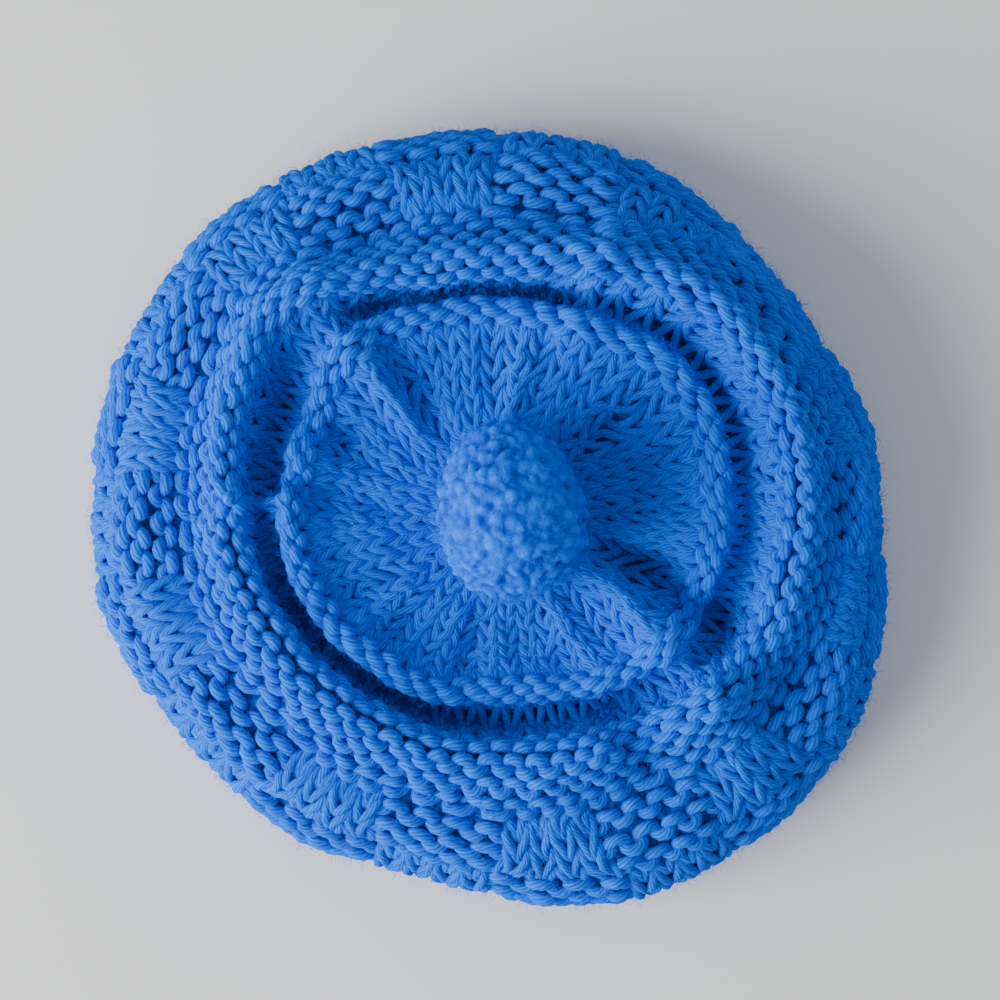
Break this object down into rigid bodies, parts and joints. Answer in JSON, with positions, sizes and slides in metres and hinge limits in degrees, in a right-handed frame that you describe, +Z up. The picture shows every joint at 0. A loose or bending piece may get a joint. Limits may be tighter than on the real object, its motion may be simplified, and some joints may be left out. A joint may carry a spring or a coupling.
{
  "type": "tam o shanter",
  "caption": "Knitted tam o'shanter lying flat: a soft round crown with a rolled welt and a textured rim, a ribbed head band under it and a pompom on top.",
  "frame": {"origin": "centre of the bounding box at its base: on the surface the hat lies on, under the middle of the crown", "axes": "+Z up, from the head band's mouth to the pompom; the pompom's narrow end points roughly to +Y, and the long fold runs from the pompom towards +X and -Y"},
  "size_m": [0.2313, 0.2258, 0.0722],
  "materials": {
    "crown_knit": "soft chunky plied yarn, knitted, matt",
    "band_rib": "the same yarn in rib, matt",
    "pompom_yarn": "dense cut pile of the same yarn, matt"
  },
  "bodies": {
    "root": {"crown": "crown_knit", "head_band": "band_rib", "pompom": "pompom_yarn"}
  },
  "joints": []
}
